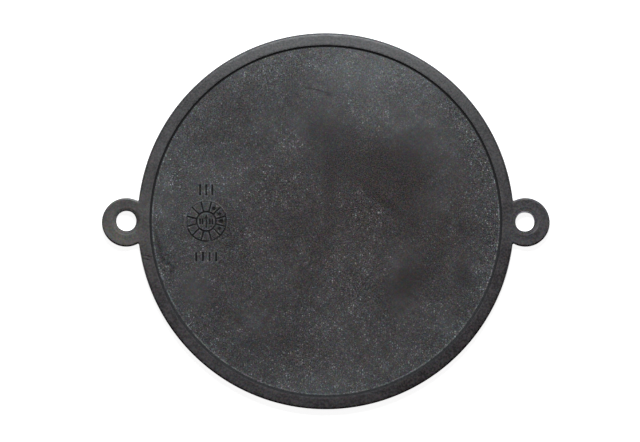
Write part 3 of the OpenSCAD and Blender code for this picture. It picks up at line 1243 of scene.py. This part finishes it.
def polar(tree, place):
    """The place laid flat, its distance from the disc's axis, and how far up or down it lies, 1 to -1."""
    flat = add_node(tree, "ShaderNodeVectorMath", {0: place, 1: (1, 1, 0)}, operation="MULTIPLY").outputs[0]
    radius = add_node(tree, "ShaderNodeVectorMath", {0: flat}, operation="LENGTH").outputs["Value"]
    height = add_node(tree, "ShaderNodeSeparateXYZ", {0: flat}).outputs["Y"]
    return flat, radius, calc(tree, "DIVIDE", height, radius)


def crevice_rubber():
    material, tree, place, shader = rubber("rubber_crevice")
    shader.inputs["Roughness"].default_value = CREVICE_ROUGHNESS
    shader.inputs["Specular IOR Level"].default_value = CREVICE_GLOSS
    _, radius, upward = polar(tree, place)
    patchy = remap(tree, grain(tree, place, 2.0, 3), 0.3, 0.7, 0.7, 1.3)
    amount = calc(
        tree, "MULTIPLY", remap(tree, upward, -1.0, 0.6, *CREVICE_LOW_SIDE_LIGHT), remap(tree, radius, *ONLY_GROOVE),
        remap(tree, radius, *LESS_ON_WALL, 0.5, 1.0), patchy)
    tree.links.new(mix_colour(tree, amount, CREVICE_SHADE_BLACK, BLOOM), shader.inputs["Base Color"])
    return material


print("crevice roughness", CREVICE_ROUGHNESS)

# %% [markdown]
# The web is duller than the rim, and a grey bloom lies on it as haze: a lot near its upper edge, partly as
# painted light where the top is lit more, and hardly any in the patches that something has wiped clean. The
# three thin ovals darken the flow line.
# Spots of haze are added up. Clean spots are multiplied instead, so that no place gets less than no dust.
# The bloom is cooler on the left, and the black under it is warmer in the middle.

# %% Spots on the web
# The two broad spots near the top are partly painted light. The three thin ones darken the flow line.
HAZY_AND_LIT_SPOTS = [
    (-1.0, 33.0, 27, 9, 0.05), (10.5, 25.8, 14, 8.6, 0.085), (-32.0, 6.0, 8, 17, 0.024),
    (-22.0, 8.0, 9, 7, 0.037), (-19.0, -10.5, 7, 6, 0.042), (25.0, 14.0, 9, 7, 0.022),
    (-10.0, 12.5, 6, 3, 0.015), (3.0, -28.0, 20, 10, 0.038), (28.0, -18.0, 9, 14, 0.01),
    (-2.0, -33.5, 10, 5, 0.045), (5.0, -17.0, 14, 7, 0.01), (5.5, 1.5, 4, 5, 0.01),
    (-3.3, 26.07, 1.2, 0.26, -0.12, -9), (-1.3, 25.62, 1.2, 0.28, -0.12, -15),
    (0.3, 25.1, 0.9, 0.5, -0.09, -25)]
CLEAN_SPOTS = [
    (7.0, 11.0, 13, 7, 0.8), (16.0, 9.5, 9, 7.5, 0.75), (1.0, 17.5, 7, 4, 0.55), (0.9, 6.0, 1.6, 15, 0.55),
    (11.5, 4.2, 7.5, 1.4, 0.95, -40), (14.4, 7.0, 5.5, 1.8, 0.7, -65), (10.0, 0.0, 12, 8, 0.36),
    (19.0, -1.0, 7, 7, 0.55), (16.6, -11.7, 8.7, 4.2, 0.8, 38), (26.9, -11.2, 2.4, 3.6, 0.6),
    (26.4, -1.4, 1.2, 1.2, 0.7), (28.5, -4.0, 4, 8, 0.3), (-7.0, -1.3, 4, 3.5, 0.35),
    (-1.8, -4.0, 3, 3.5, 0.4), (-1.5, 5.0, 4, 5, 0.25), (-13.0, 3.0, 5, 4, 0.3), (-17.7, -1.3, 3, 3.5, 0.4),
    (-23.5, 0.0, 3.4, 3.4, 0.35), (-30.0, -6.0, 4, 4, 0.35), (-5.0, -24.5, 5, 3, 0.35),
    (26.5, 12.0, 4, 3, 0.3), (-25.0, -14.5, 5, 3.5, 0.3), (-13.0, -26.0, 6, 3.5, 0.3, -25),
    (-18.5, 23.0, 6, 4.5, 0.4, 30), (-25.0, 17.5, 4, 5, 0.4), (28.3, -16.3, 3.5, 3.5, 0.35),
    (-33.0, -3.0, 1.6, 5, 0.35), (11.4, -31.2, 4, 1.8, 0.35), (-28.0, 10.5, 2.5, 2.5, 0.35),
    (-32.8, -4.6, 0.42, 3.0, 0.9, 14), (-32.0, -7.4, 0.6, 0.8, 0.95), (-31.1, -8.2, 0.6, 0.45, 0.95, 20),
    (-30.4, -9.5, 0.4, 1.1, 0.95), (-31.7, -9.6, 0.35, 0.6, 0.9), (-29.9, -9.2, 0.3, 0.7, 0.9),
    (-31.2, -6.6, 0.9, 0.3, 0.8)]
COOL_SPOTS = [(-26.0, 3.0, 10, 13, 0.9), (-16.0, 19.0, 8, 8, 0.5)]
WARM_SPOTS = [(9.0, 1.0, 25, 17, 1.0)]


def kept_dust(x, y):
    """The share of the dust that the clean spots leave."""
    return math.prod(1 - spot(x, y, *values) for values in CLEAN_SPOTS)


store_on_skin("web_kept", kept_dust, back_start)
for name, spots in (("web_haze_and_light", HAZY_AND_LIT_SPOTS), ("web_cool", COOL_SPOTS), ("web_warm", WARM_SPOTS)):
    store_on_skin(name, lambda x, y: spots_sum(x, y, spots), back_start)
print("web:", len(CLEAN_SPOTS), "clean spots and", len(HAZY_AND_LIT_SPOTS), "hazy ones")

# %% [markdown]
# On top of the haze sit flecks of dust. They aren't spread evenly: some areas are nearly free of them, and in
# others they crowd. Noise makes such clusters, and these spots put the main ones where the photo has them.

# %% Where flecks are fewer or more
FLECKS_LESS = [
    (18.0, 16.0, 8, 6.5, 0.75), (-1.0, 18.5, 6, 7, 0.55), (15.5, -11.5, 4.5, 10, 0.65),
    (20.5, 3.0, 5, 5, 0.4), (-8.0, -11.0, 5.5, 4.5, 0.3), (-14.0, -19.0, 5.5, 4.5, 0.4),
    (22.0, -19.0, 4.5, 4, 0.3), (-26.0, -14.5, 4.5, 4, 0.5), (-12.0, 19.5, 4.5, 4, 0.35),
    (-31.5, 3.5, 2.5, 6, 0.35), (-25.5, -11.5, 4, 3.5, 0.35), (25.0, 9.0, 3.5, 6, 0.3),
    (26.5, -8.0, 3.5, 6, 0.25), (-5.5, 19.5, 2.5, 3.5, 0.3), (14.5, -14.0, 3, 5.5, 0.3),
    (-3.3, 26.07, 1.2, 0.3, 0.6, -9), (-1.3, 25.62, 1.2, 0.3, 0.6, -15), (0.3, 25.1, 0.9, 0.5, 0.5, -25)]
FLECKS_MORE = [
    (7.5, 3.0, 5.5, 5, 0.7), (-18.0, -8.0, 4, 4.5, 0.7), (-9.0, 7.5, 6.5, 5.5, 0.3),
    (-4.0, -25.0, 7, 5, 0.35), (14.0, 26.5, 4, 4, 0.45), (-8.0, 30.0, 10, 3.5, 0.4, 20),
    (6.0, -13.0, 5, 4, 0.2), (-20.5, -12.0, 3, 5, 0.35), (-20.5, 0.0, 3, 6, 0.35),
    (29.5, 13.5, 3, 7, 0.45, 25), (32.5, -2.0, 2, 7, 0.5), (25.5, 22.0, 3.5, 3.5, 0.35),
    (-29.0, 8.5, 2.5, 3, 0.35), (5.0, 23.5, 3.5, 3, 0.35), (-16.0, -12.0, 3.5, 3.5, 0.25),
    (-5.0, -30.0, 4, 2.5, 0.3), (-17.5, -2.5, 3, 3, 0.25), (6.0, 2.5, 2.5, 2.5, 0.3)]
LEAST_LIVELY = 0.15


def liveliness(x, y):
    """How strong the flecks and the grain are at a place, round 1."""
    return max(LEAST_LIVELY, 1 - spots_sum(x, y, FLECKS_LESS) + spots_sum(x, y, FLECKS_MORE))


store_on_skin("lively", liveliness, back_start)
print("flecks are fewer in", len(FLECKS_LESS), "spots and more in", len(FLECKS_MORE))

# %% [markdown]
# The flecks are small cells with their own brightness each, of two sizes. Between them lie a few hairlines,
# and a cloth has left wide faint lines. Both are noise that is stretched along one direction.
# Thousands of little meshes could stand for them, but nodes draw them without any mesh.

# %% Flecks, hairlines and wiped lines
SPECKS = [
    {"per_mm": 3.8, "radius": 0.36, "rare": 0.3, "bloom": 0.47},
    {"per_mm": 2.2, "radius": 0.27, "rare": 0.55, "bloom": 0.82}]
HAIR_TURNS = (33, 64, 101, 148)
HAIR_STRETCH = 5
HAIR_SHIFT = 13.0
HAIRS_PER_MM = 4.5
HAIR_BLOOM = 0.2
WIPE_TURNS = (-38, 40)
WIPE_STRETCH = 6
WIPES_PER_MM = 0.9
WIPE_DEPTH = 0.15


def specks(tree, place, per_mm, radius, rare, bloom):
    """Round specks of mixed brightness, one to a cell at most."""
    cells = add_node(tree, "ShaderNodeTexVoronoi", {"Vector": place, "Scale": per_mm})
    own = add_node(tree, "ShaderNodeSeparateColor", {"Color": cells.outputs["Color"]})
    size = remap(tree, cells.outputs["Distance"], radius * 0.3, radius * 1.3, 1, 0)
    return calc(tree, "MULTIPLY", size, remap(tree, own.outputs[0], rare, 1.0), bloom)


def laid_along(tree, place, turn, stretch, shift=0.0):
    """The place squeezed along one direction, so that a grain on it is drawn out to a line."""
    laid = {"Vector": place, "Rotation": (0, 0, math.radians(turn)), "Scale": (stretch, 1, 1),
            "Location": (shift, shift * 2, 0)}
    return add_node(tree, "ShaderNodeMapping", laid, vector_type="TEXTURE").outputs[0]


def hairs(tree, flat, turn, shift):
    """Fine light hairlines that lie along one direction."""
    lines = grain(tree, laid_along(tree, flat, turn, HAIR_STRETCH, shift), HAIRS_PER_MM, 1)
    return calc(tree, "MULTIPLY", remap(tree, lines, 0.68, 0.78), HAIR_BLOOM)


def wiped_lines(tree, flat, turn):
    """Wide faint lines along one direction, round a mean of 1."""
    lines = grain(tree, laid_along(tree, flat, turn, WIPE_STRETCH), WIPES_PER_MM, 2)
    return remap(tree, lines, 0.35, 0.65, 1 - WIPE_DEPTH, 1 + WIPE_DEPTH)


print(len(SPECKS), "kinds of specks and", len(HAIR_TURNS), "directions of hairlines")

# %% [markdown]
# Three layers lie on the black: how dusty a place is at all, the even film of haze, and the marks in it.
# The haze also fills the areas with few flecks a little, and draws a thin paler line along the groove on the
# lower side. Dust lies beside the cuts, and dust and a painted highlight lie on the dial's ridge, on its side
# that faces the lamp. All of it could be one long function, but one for each layer is easier to change.

# %% Layers of dust and painted light
NEAR_RIM_R = (25, 34)
NEAR_RIM_DUST = 0.5
HAZE = 0.09
HAZE_GRAIN = 0.75
HAZE_GRAINS_PER_MM = 5.0
LOW_PALE_LINE_R = 34.0
LOW_PALE_LINE = 0.21
EDGE_DUST_AND_HIGHLIGHT = 0.12
FLECKS_FILL = 0.06


def web_dust(tree, place, flat, radius):
    """How dusty a place is: clouds, more near the rim, little in the clean spots, and the wiped lines."""
    clouds = remap(tree, grain(tree, place, 0.16, 4, 0.65), 0.36, 0.66, 0.5, 0.95)
    dust = calc(tree, "ADD", clouds, remap(tree, radius, *NEAR_RIM_R, 0, NEAR_RIM_DUST))
    wiped = [wiped_lines(tree, flat, turn) for turn in WIPE_TURNS]
    return calc(tree, "MULTIPLY", dust, stored(tree, "web_kept"), *wiped)


def web_haze_and_light(tree, place, radius, upward, dust, lively):
    """The film of haze, partly painted light near the top, with a pale line on the lower side, the dust
    beside the cuts, and dust and painted highlight on the dial's ridge.
    """
    # A thin paler line along the groove, on the lower side.
    off_line = calc(tree, "ABSOLUTE", calc(tree, "SUBTRACT", radius, LOW_PALE_LINE_R))
    on_line = remap(tree, off_line, 0.03, 0.24, 1, 0)
    low_side = remap(tree, upward, -0.2, 0.7, LOW_PALE_LINE, 0)
    line = calc(
        tree, "MULTIPLY", on_line, low_side, remap(tree, grain(tree, place, 0.9, 3), 0.35, 0.6, 0.2, 1.2))
    fine = grain(tree, place, HAZE_GRAINS_PER_MM, 2, 0.7)
    uneven = calc(tree, "MULTIPLY", remap(tree, fine, 0.32, 0.68, -HAZE_GRAIN, HAZE_GRAIN), lively)
    haze = calc(tree, "ADD", calc(tree, "MULTIPLY", dust, HAZE), line)
    haze = calc(tree, "MULTIPLY", haze, calc(tree, "ADD", 1.0, uneven))
    filled = calc(tree, "MULTIPLY", calc(tree, "SUBTRACT", 1.0, lively), FLECKS_FILL, dust)
    # Dust beside the cuts, and dust and painted highlight on the ridge's side that faces the lamp.
    patchy = remap(tree, grain(tree, place, 1.1, 3), 0.35, 0.65, 0.2 * EDGE_DUST_AND_HIGHLIGHT, 1.6 * EDGE_DUST_AND_HIGHLIGHT)
    beside_cuts_and_ridge = calc(tree, "MULTIPLY", stored(tree, "dust_and_ridge_highlight"), patchy)
    return calc(tree, "ADD", haze, stored(tree, "web_haze_and_light"), filled, beside_cuts_and_ridge)


def web_marks(tree, place, flat, height, lively):
    """Flecks in clusters, weaker near the top, and hairlines."""
    flecks = calc(tree, "ADD", *(specks(tree, place, **kind) for kind in SPECKS))
    flock = remap(tree, grain(tree, place, 0.33, 3, 0.6), 0.4, 0.62, 0.7, 1.2)
    flecks = calc(tree, "MULTIPLY", flecks, flock, remap(tree, height, 14, 28, 1.0, 0.6))
    lines = [hairs(tree, flat, turn, i * HAIR_SHIFT) for i, turn in enumerate(HAIR_TURNS)]
    return calc(tree, "MULTIPLY", calc(tree, "ADD", flecks, *lines), lively)


print("layers of dust ready, haze", HAZE)

# %% [markdown]
# The finish of the web puts the layers together. Its bloom is cooler at the top, partly a painted tint of the
# cooler light there, and near the rim and in the cool spots, and its gloss is low, so that the lamp gives it
# hardly any sheen.

# %% Dusty web
BLOOM_WARM = (0.311, 0.307, 0.309, 1)
BLOOM_COOL = (0.290, 0.309, 0.313, 1)
COOL = 0.8
COOL_Y = (-4, 26)
COOL_R = (26, 34)
WARM_TINT = (1.08, 0.97, 0.92, 1)
NO_TINT = (1, 1, 1, 1)
BLACK_TINT = 1.1
BLOOM_TINT = 0.3
WEB_ROUGHNESS = (0.52, 0.66)
WEB_GLOSS = 0.15
WEB_GRAIN = 1.0
WEB_GRAINS_PER_MM = 4.5
WEB_BUMP = 0.026


def dusty_rubber():
    material, tree, place, shader = rubber("rubber_dusty")
    flat, radius, upward = polar(tree, place)
    height = calc(tree, "MULTIPLY", upward, radius)
    lively = stored(tree, "lively")
    dust = web_dust(tree, place, flat, radius)
    haze = web_haze_and_light(tree, place, radius, upward, dust, lively)
    marks = calc(tree, "MULTIPLY", web_marks(tree, place, flat, height, lively), dust)
    amount = calc(tree, "ADD", marks, haze, clamp=True)
    warmth = mix_colour(tree, stored(tree, "web_warm"), NO_TINT, WARM_TINT)
    black = uneven_black(tree, place, WEB_GRAINS_PER_MM, WEB_GRAIN, lively)
    black = add_node(tree, "ShaderNodeVectorMath", {0: black, 1: warmth}, operation="MULTIPLY").outputs[0]
    black = tinted(tree, place, black, BLACK_TINT)
    # Cooler with height: a painted tint of the light. Near the rim and in the cool spots it is the dust's own
    # colour.
    cool = calc(
        tree, "ADD", remap(tree, height, *COOL_Y, 0, COOL), remap(tree, radius, *COOL_R, 0, COOL),
        stored(tree, "web_cool"), clamp=True)
    bloom = tinted(tree, place, mix_colour(tree, cool, BLOOM_WARM, BLOOM_COOL), BLOOM_TINT)
    tree.links.new(mix_colour(tree, amount, black, bloom), shader.inputs["Base Color"])
    tree.links.new(remap(tree, dust, 0.1, 1.4, *WEB_ROUGHNESS), shader.inputs["Roughness"])
    shader.inputs["Specular IOR Level"].default_value = WEB_GLOSS
    bump(tree, shader, calc(tree, "MULTIPLY", grain(tree, place, 4.5, 3, 0.6), lively), WEB_BUMP)
    return material


print("dusty rubber, roughness", WEB_ROUGHNESS)

# %% [markdown]
# The back isn't in the photo. It gets the plain moulded finish of the same compound, a little duller.

# %% Plain back
BACK_ROUGHNESS = (0.5, 0.65)
BACK_BUMP = 0.01


def back_rubber():
    material, tree, place, shader = rubber("rubber_back")
    cloud = grain(tree, place, 0.15, 4)
    flecks = remap(tree, grain(tree, place, 3.6, 3), 0.62, 0.74, 0, 0.3)
    amount = calc(tree, "ADD", flecks, remap(tree, cloud, 0.4, 0.7, 0.01, 0.07), clamp=True)
    tree.links.new(mix_colour(tree, amount, BLACK, BLOOM), shader.inputs["Base Color"])
    tree.links.new(remap(tree, cloud, 0.35, 0.65, *BACK_ROUGHNESS), shader.inputs["Roughness"])
    bump(tree, shader, grain(tree, place, 3.5, 3), BACK_BUMP)
    return material


for make in (satin_rubber, dusty_rubber, back_rubber, crevice_rubber):
    skin_mesh.materials.append(make())
print("finishes", [m.name for m in skin_mesh.materials])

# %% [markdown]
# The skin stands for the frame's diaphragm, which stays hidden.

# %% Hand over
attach(skin, "root")
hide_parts("diaphragm")
